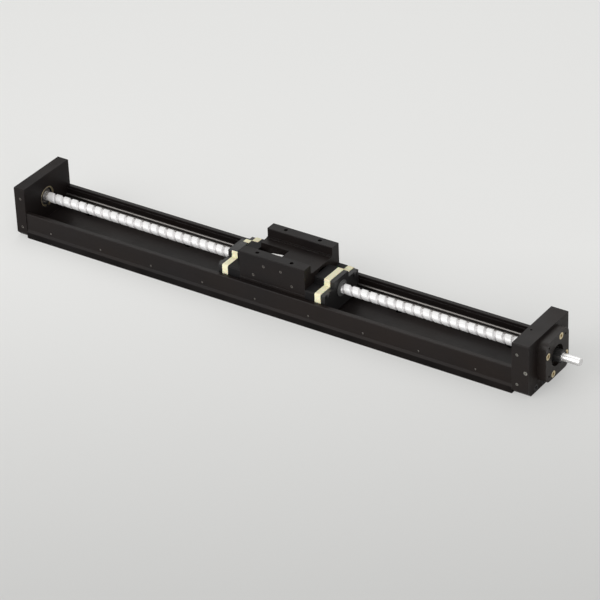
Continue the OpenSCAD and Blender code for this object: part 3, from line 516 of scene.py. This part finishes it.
def ring_round(bm, profile, centre, axis="X", segments=48):
    """Turns a closed (along, radius) profile round an axis through centre, along X or Y."""
    turn = Matrix.Rotation(pi / 2, 4, "Z") if axis == "Y" else Matrix.Identity(4)
    rows = []
    for k in range(segments):
        angle = tau * k / segments
        rows.append([
            bm.verts.new(Vector(centre) + turn @ Vector((a, r * cos(angle), r * sin(angle))))
            for a, r in profile
        ])
    for k in range(segments):
        here, there = rows[k], rows[(k + 1) % segments]
        for j in range(len(profile)):
            bm.faces.new((here[j - 1], here[j], there[j], there[j - 1]))


def tube_along(bm, points, radius, sides=20):
    """A capped round tube along a list of points that lie near the XZ plane."""
    rings = []
    for i, point in enumerate(points):
        ahead = points[min(i + 1, len(points) - 1)] - points[max(i - 1, 0)]
        ahead.normalize()
        side = Vector((0, 1, 0))
        up = ahead.cross(side)
        rings.append([
            bm.verts.new(point + radius * (cos(tau * k / sides) * side + sin(tau * k / sides) * up))
            for k in range(sides)
        ])
    for near, far in zip(rings, rings[1:]):
        for k in range(sides):
            bm.faces.new((near[k - 1], near[k], far[k], far[k - 1]))
    bm.faces.new(rings[0])
    bm.faces.new(list(reversed(rings[-1])))


def groove_profile(settings):
    """One lead of the screw's surface as (along, radius): a round ball groove between flat lands."""
    half, depth = settings.groove_half, settings.groove_depth
    radius, edge = settings.radius, settings.land_edge
    arc = (half * half + depth * depth) / (2 * depth)
    steps = 6
    points = []
    for i in range(-steps, steps + 1):
        along = half * i / steps
        points.append((along, radius - depth + arc - (arc * arc - along * along) ** 0.5))
    points[0] = (-half, radius - edge)
    points[-1] = (half, radius - edge)
    points.append((half + edge, radius))
    points.append((settings.lead - half - edge, radius))
    return points


def groove_place(settings):
    """A place along the axis where the middle of the groove faces the far side."""
    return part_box("ball_screw")[0][0] + settings.neck + settings.groove_start


def helical_screw(start, end, settings):
    """A right-handed helical surface, cut flat at both ends and closed there."""
    bm = bmesh.new()
    profile = groove_profile(settings)
    n = settings.segments
    # whole turns that reach past both ends, where the cuts take them off
    first = groove_place(settings) - 2 * settings.lead
    turns = int((end - first) / settings.lead) + 3
    rows = []
    for k in range(turns * n):
        angle = tau * k / n
        shift = first + settings.lead * k / n
        rows.append([
            bm.verts.new((shift + a, r * cos(angle), AXIS_Z + r * sin(angle))) for a, r in profile
        ])
    for k in range(len(rows) - 1):
        for j in range(len(profile) - 1):
            bm.faces.new((rows[k][j], rows[k][j + 1], rows[k + 1][j + 1], rows[k + 1][j]))
        if k + n + 1 < len(rows):
            bm.faces.new((rows[k][-1], rows[k + n][0], rows[k + n + 1][0], rows[k + 1][-1]))
    for plane, side in ((start, -1), (end, 1)):
        cut = bmesh.ops.bisect_plane(
            bm, geom=bm.verts[:] + bm.edges[:] + bm.faces[:], plane_co=(plane, 0, 0), plane_no=(side, 0, 0),
            clear_outer=True
        )
        rim = [edge for edge in cut["geom_cut"] if isinstance(edge, bmesh.types.BMEdge)]
        bmesh.ops.triangle_fill(bm, use_beauty=True, edges=rim)
    return bm


# ---- Operators ----


class PieceOperator:
    """Shared settings of this add-on's operators"""

    bl_options = {"REGISTER", "UNDO"}


class AXIS_OT_rail(PieceOperator, bpy.types.Operator):
    """Finish the anodised rail and the steel strips in its walls"""

    bl_idname = "axis.rail"
    bl_label = "Rail and Guide Strips"

    def execute(self, context):
        finish("extruded", "rail")
        finish("guide", "way_strip_near", "way_strip_far", "carriage_strip_near", "carriage_strip_far")
        self.side_plugs(context.scene.axis_rail)
        return {"FINISHED"}

    def side_plugs(self, rail):
        """Small set screws in the tapped holes along both walls."""
        low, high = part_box("rail")
        centre_radius = 0.00005
        back, face, floor = -rail.plug_depth, -rail.plug_set_back, -rail.socket_floor
        profile = [
            (back, centre_radius), (back, rail.plug_radius), (face - rail.plug_edge, rail.plug_radius),
            (face, rail.plug_radius - rail.plug_edge), (face, rail.socket_radius),
            (floor, rail.socket_radius - rail.socket_taper), (floor, centre_radius),
        ]
        for side, name in ((-1, "near"), (1, "far")):
            bm = bmesh.new()
            for i in range(rail.side_holes):
                along = low[0] + rail.side_first + i * rail.side_pitch
                centre = (along, side * rail.side_face, rail.side_height)
                ring_round(bm, [(side * a, r) for a, r in profile], centre, axis="Y", segments=18)
            add_piece("side_plugs_" + name, bm, "dark", "base")


class AXIS_OT_end_plates(PieceOperator, bpy.types.Operator):
    """Finish the support end plate, the drive end block and the motor flange"""

    bl_idname = "axis.end_plates"
    bl_label = "End Plates and Flange"

    def execute(self, context):
        finish("plate", "support_end_plate")
        finish("drive_block", "drive_end_block")
        finish("flange", "motor_flange")
        return {"FINISHED"}


class AXIS_OT_screws(PieceOperator, bpy.types.Operator):
    """Finish the screws, the set screws, the plug and the retaining ring"""

    bl_idname = "axis.screws"
    bl_label = "Screws"

    def execute(self, context):
        finish("oxide", "support_plate_screws", "drive_block_screws", "nut_screws",
               "cap_screws_support_side", "cap_screws_drive_side")
        finish("dull", "drive_side_screws", "block_side_plug")
        finish("dark", "support_side_screws", "carriage_side_screws")
        finish("plating", "flange_screws", "support_retaining_ring")
        return {"FINISHED"}


class AXIS_OT_bearings(PieceOperator, bpy.types.Operator):
    """Finish the bearings' rings and balls, the spacer, the clip and the lock nut"""

    bl_idname = "axis.bearings"
    bl_label = "Bearings"

    def execute(self, context):
        finish("ground", "drive_bearing_outer_ring_a", "drive_bearing_outer_ring_b",
               "drive_bearing_inner_ring_a", "drive_bearing_inner_ring_b", "screw_spacer")
        finish("bright", "drive_bearing_balls", "guide_balls_near", "guide_balls_far")
        finish("dark", "support_bearing_inner_ring", "support_bearing_balls")
        finish("oxide", "support_bearing_outer_ring", "bearing_lock_nut", "journal_clip")
        return {"FINISHED"}


class AXIS_OT_ball_screw(PieceOperator, bpy.types.Operator):
    """Build the ball screw with its round groove, and finish its journals"""

    bl_idname = "axis.ball_screw"
    bl_label = "Ball Screw"

    def execute(self, context):
        screw = context.scene.axis_screw
        low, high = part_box("ball_screw")
        start, end = low[0] + screw.neck, high[0] - screw.neck
        bm = helical_screw(start, end, screw)
        outer = screw.radius - screw.groove_depth - screw.neck_step
        inner = outer - screw.neck_wall
        for a, b in ((low[0], start), (end, high[0])):
            ring_round(bm, [(a, inner), (a, outer), (b, outer), (b, inner)], (0, 0, AXIS_Z))
        add_piece("ball_screw_thread", bm, "screw", "screw", ["ball_screw"])
        finish("shaft", "support_journal", "drive_shaft")
        return {"FINISHED"}


class AXIS_OT_carriage(PieceOperator, bpy.types.Operator):
    """Finish the carriage block"""

    bl_idname = "axis.carriage"
    bl_label = "Carriage Block"

    def execute(self, context):
        finish("block", "carriage_block")
        return {"FINISHED"}


class AXIS_OT_ball_nut(PieceOperator, bpy.types.Operator):
    """Build the nut's bent return tube and its balls, and finish the nut"""

    bl_idname = "axis.ball_nut"
    bl_label = "Ball Nut"

    def execute(self, context):
        finish("ground", "ball_nut")
        self.balls(context.scene.axis_nut, context.scene.axis_screw)
        self.tube(context.scene.axis_nut)
        return {"FINISHED"}

    def balls(self, nut, screw):
        """The balls of the nut, each in the screw's groove."""
        low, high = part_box("nut_balls")
        first, last = low[0] + nut.ball_radius, high[0] - nut.ball_radius
        bm = bmesh.new()
        for i in range(nut.balls):
            x = first + (last - first) * i / (nut.balls - 1)
            angle = tau * (x - groove_place(screw)) / screw.lead
            across, up = nut.ball_circle * cos(angle), nut.ball_circle * sin(angle)
            bmesh.ops.create_uvsphere(bm, u_segments=20, v_segments=12, radius=nut.ball_radius,
                                      matrix=Matrix.Translation((x, across, AXIS_Z + up)))
        in_fixed_order(bm)
        add_piece("balls_in_groove", bm, "bright", "carriage", ["nut_balls"])

    def tube(self, nut):
        """The tube that carries the balls back over the nut, a little askew to the axis."""
        low, high = (Vector(corner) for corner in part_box("nut_return_tube"))
        radius = (high.y - low.y) / 2
        bend = nut.tube_bend * radius
        left, right, top = low.x + radius, high.x - radius, high.z + nut.tube_rise - radius
        steps = 8
        points = [Vector((left, 0, low.z))]
        for centre_x, start in ((left + bend, pi), (right - bend, pi / 2)):
            for i in range(steps + 1):
                angle = start - pi / 2 * i / steps
                points.append(Vector((centre_x + bend * cos(angle), 0, top - bend + bend * sin(angle))))
        points.append(Vector((right, 0, low.z)))
        for point in points:
            point.y = nut.tube_skew * (2 * (point.x - left) / (right - left) - 1)
        bm = bmesh.new()
        tube_along(bm, points, radius)
        add_piece("return_tube", bm, "plated", "carriage", ["nut_return_tube"])


class AXIS_OT_end_caps(PieceOperator, bpy.types.Operator):
    """Finish the end caps, wipers and cover plates, and build the scrapers and the clip"""

    bl_idname = "axis.end_caps"
    bl_label = "End Caps and Wipers"

    def execute(self, context):
        finish("moulded", "end_cap_support_side", "end_cap_drive_side")
        finish("oxide", "cover_plate_support_side", "cover_plate_drive_side")
        finish("wiper", "wiper_support_side", "wiper_drive_side")
        caps = context.scene.axis_caps
        profile = self.scraper_profile(caps, context.scene.axis_screw.radius + caps.scraper_gap)
        for side, outward in (("support_side", -1), ("drive_side", 1)):
            low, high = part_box("cover_plate_" + side)
            face = low[0] if outward < 0 else high[0]
            bm = bmesh.new()
            ring_round(bm, [(outward * a, r) for a, r in profile], (face, 0, AXIS_Z))
            add_piece("scraper_" + side, bm, "scraper", "carriage")
        self.clip(caps)
        return {"FINISHED"}

    def scraper_profile(self, caps, inner):
        """A scraper as (outward, radius): a sleeve in the plate, a flange and a lip round the screw."""
        wall, edge = caps.scraper_wall, 0.0001
        sleeve, flange, height = inner + wall, caps.flange_radius, caps.flange_height
        lip, tip = caps.lip_radius, caps.lip_length
        return [
            (-caps.sleeve_depth, sleeve), (-caps.sleeve_depth, sleeve + wall),
            (-edge, sleeve + wall + 2 * edge),
            (edge, flange - caps.flange_rim), (caps.flange_rim, flange), (height, flange - wall),
            (height + edge, lip), (tip - wall, lip - 2 * wall),
            (tip, inner + edge), (tip - 2 * edge, inner), (tip - 2 * wall, inner),
        ]

    def clip(self, caps):
        """A thin strap over the neck of the wiper at the support side."""
        low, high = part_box("wiper_support_side")
        near, far, corner = -caps.clip_near, caps.clip_far, caps.clip_corner
        under = high[2] + caps.clip_gap
        top = under + caps.clip_height
        # the near end leans outwards, and the far end is bent down
        outline = [
            (near + corner, under), (near + corner / 4, under + 3 * corner / 4),
            (near + 3 * corner / 2, top), (far - 2 * corner, top), (far, top - corner), (far, under),
        ]
        bm = bmesh.new()
        left, right = (
            [bm.verts.new((x, y, z)) for y, z in outline] for x in (low[0] - caps.clip_overhang, high[0])
        )
        for k in range(len(outline)):
            bm.faces.new((left[k - 1], left[k], right[k], right[k - 1]))
        bm.faces.new(left)
        bm.faces.new(list(reversed(right)))
        add_piece("wiper_clip", bm, "oxide", "carriage")


class AXIS_OT_stage(PieceOperator, bpy.types.Operator):
    """Set up the floor, the soft lights, the world and the camera"""

    bl_idname = "axis.stage"
    bl_label = "Stage"

    def execute(self, context):
        scene, stage = context.scene, context.scene.axis_stage
        self.floor(scene, stage)
        self.camera(scene, stage)
        for name, place, aim, size, power in SOFT_LIGHTS:
            self.soft_light(name, place, aim, size, getattr(stage, power))
        self.world(scene, stage)
        scene.view_settings.view_transform = "Standard"
        return {"FINISHED"}

    def world(self, scene, stage):
        """Even light from all round, behind which the camera and the reflections see the floor's colour."""
        scene.world = bpy.data.worlds.new("studio")
        scene.world.use_nodes = True
        tree = scene.world.node_tree
        air = tree.nodes["Background"]
        air.inputs["Color"].default_value = (1, 1, 1, 1)
        air.inputs["Strength"].default_value = stage.air_strength
        wall = tree.nodes.new("ShaderNodeBackground")
        wall.inputs["Color"].default_value = (*scene.axis_finishes.floor_far, 1)
        mix = tree.nodes.new("ShaderNodeMixShader")
        path = tree.nodes.new("ShaderNodeLightPath")
        seen = tree.nodes.new("ShaderNodeMath")
        seen.operation = "MAXIMUM"
        tree.links.new(path.outputs["Is Camera Ray"], seen.inputs[0])
        tree.links.new(path.outputs["Is Glossy Ray"], seen.inputs[1])
        tree.links.new(seen.outputs[0], mix.inputs[0])
        tree.links.new(air.outputs[0], mix.inputs[1])
        tree.links.new(wall.outputs[0], mix.inputs[2])
        tree.links.new(mix.outputs[0], tree.nodes["World Output"].inputs[0])

    def floor(self, scene, stage):
        """A pale floor with painted shade that turns it darker towards the camera."""
        f = Finish("pale_floor")
        f.set(Roughness=0.9, Specular_IOR_Level=0.1)
        turn = f.add("ShaderNodeMapping")
        turn.inputs["Rotation"].default_value = (0, 0, stage.floor_turn)
        f.join(f.place, turn.inputs["Vector"])
        split = f.add("ShaderNodeSeparateXYZ")
        f.join(turn.outputs["Vector"], split.inputs[0])
        # painted shade: the floor's colour turns darker towards the camera, standing in for less light
        # falling there
        shade = f.spread(split.outputs["Y"], 1, 0, stage.floor_dark, stage.floor_pale)
        finishes = scene.axis_finishes
        colours = f.blend(shade, finishes.floor_far, finishes.floor_near_painted_shade)
        f.join(colours, f.shader.inputs["Base Color"])
        # a share of what the camera sees of the floor is even, so that its shadows stay faint
        even = f.add("ShaderNodeEmission")
        f.join(colours, even.inputs["Color"])
        share = f.add("ShaderNodeMath", operation="MULTIPLY")
        share.inputs[1].default_value = stage.floor_even
        f.join(f.add("ShaderNodeLightPath").outputs["Is Camera Ray"], share.inputs[0])
        mix = f.add("ShaderNodeMixShader")
        f.join(share.outputs[0], mix.inputs[0])
        f.join(f.shader.outputs[0], mix.inputs[1])
        f.join(even.outputs[0], mix.inputs[2])
        f.join(mix.outputs[0], f.tree.nodes["Material Output"].inputs["Surface"])
        bm = bmesh.new()
        bmesh.ops.create_grid(bm, x_segments=2, y_segments=2, size=stage.floor_size)
        mesh = bpy.data.meshes.new("studio_floor")
        bm.to_mesh(mesh)
        bm.free()
        mesh.materials.append(f.material)
        floor = bpy.data.objects.new("studio_floor", mesh)
        scene.collection.objects.link(floor)

    def camera(self, scene, stage):
        """A long lens that looks down at the drive end and the near side."""
        azimuth, elevation, roll = stage.azimuth, stage.elevation, stage.roll
        towards = Vector((sin(azimuth) * cos(elevation), -cos(azimuth) * cos(elevation), sin(elevation)))
        right = Vector((cos(azimuth), sin(azimuth), 0))
        up = right.cross(-towards)
        rolled_right = cos(roll) * right + sin(roll) * up
        rolled_up = cos(roll) * up - sin(roll) * right
        camera = bpy.data.objects.new("camera", bpy.data.cameras.new("camera"))
        camera.data.lens = stage.lens
        camera.data.clip_end = 50
        basis = Matrix((rolled_right, rolled_up, towards)).transposed().to_4x4()
        camera.matrix_world = Matrix.Translation(CAMERA_TARGET + towards * stage.distance) @ basis
        scene.collection.objects.link(camera)
        scene.camera = camera

    def soft_light(self, name, place, target, size, power):
        """A square soft light, aimed at a point."""
        light = bpy.data.objects.new(name, bpy.data.lights.new(name, "AREA"))
        light.data.shape = "SQUARE"
        light.data.size = size
        light.data.energy = power
        aim = Vector(target) - Vector(place)
        light.matrix_world = Matrix.Translation(place) @ aim.to_track_quat("-Z", "Y").to_matrix().to_4x4()
        bpy.context.scene.collection.objects.link(light)


BUILD_ORDER = (
    AXIS_OT_rail, AXIS_OT_end_plates, AXIS_OT_screws, AXIS_OT_bearings, AXIS_OT_ball_screw,
    AXIS_OT_carriage, AXIS_OT_ball_nut, AXIS_OT_end_caps, AXIS_OT_stage,
)


class AXIS_PT_panel(bpy.types.Panel):
    """Settings and steps of the linear axis"""

    bl_label = "Linear Axis"
    bl_idname = "AXIS_PT_panel"
    bl_space_type = "VIEW_3D"
    bl_region_type = "UI"
    bl_category = "Linear Axis"

    def draw(self, context):
        for group_name, settings in SETTINGS.items():
            box = self.layout.box()
            for name in settings.__annotations__:
                box.prop(getattr(context.scene, group_name), name)
        for step in BUILD_ORDER:
            self.layout.operator(step.bl_idname)


SETTINGS = {
    "axis_finishes": FinishSettings,
    "axis_rail": RailSettings,
    "axis_screw": ScrewSettings,
    "axis_nut": NutSettings,
    "axis_caps": EndCapSettings,
    "axis_stage": StageSettings,
}
CLASSES = (*SETTINGS.values(), *BUILD_ORDER, AXIS_PT_panel)


def register():
    """Registers the classes and hangs the settings on the scene."""
    for cls in CLASSES:
        bpy.utils.register_class(cls)
    for name, settings in SETTINGS.items():
        setattr(bpy.types.Scene, name, PointerProperty(type=settings))


def unregister():
    """Takes the settings and the classes away again."""
    for name in SETTINGS:
        delattr(bpy.types.Scene, name)
    for cls in reversed(CLASSES):
        bpy.utils.unregister_class(cls)


def main():
    """Builds every piece in order."""
    register()
    for step in BUILD_ORDER:
        category, name = step.bl_idname.split(".")
        getattr(getattr(bpy.ops, category), name)()


if __name__ == "__main__":
    main()
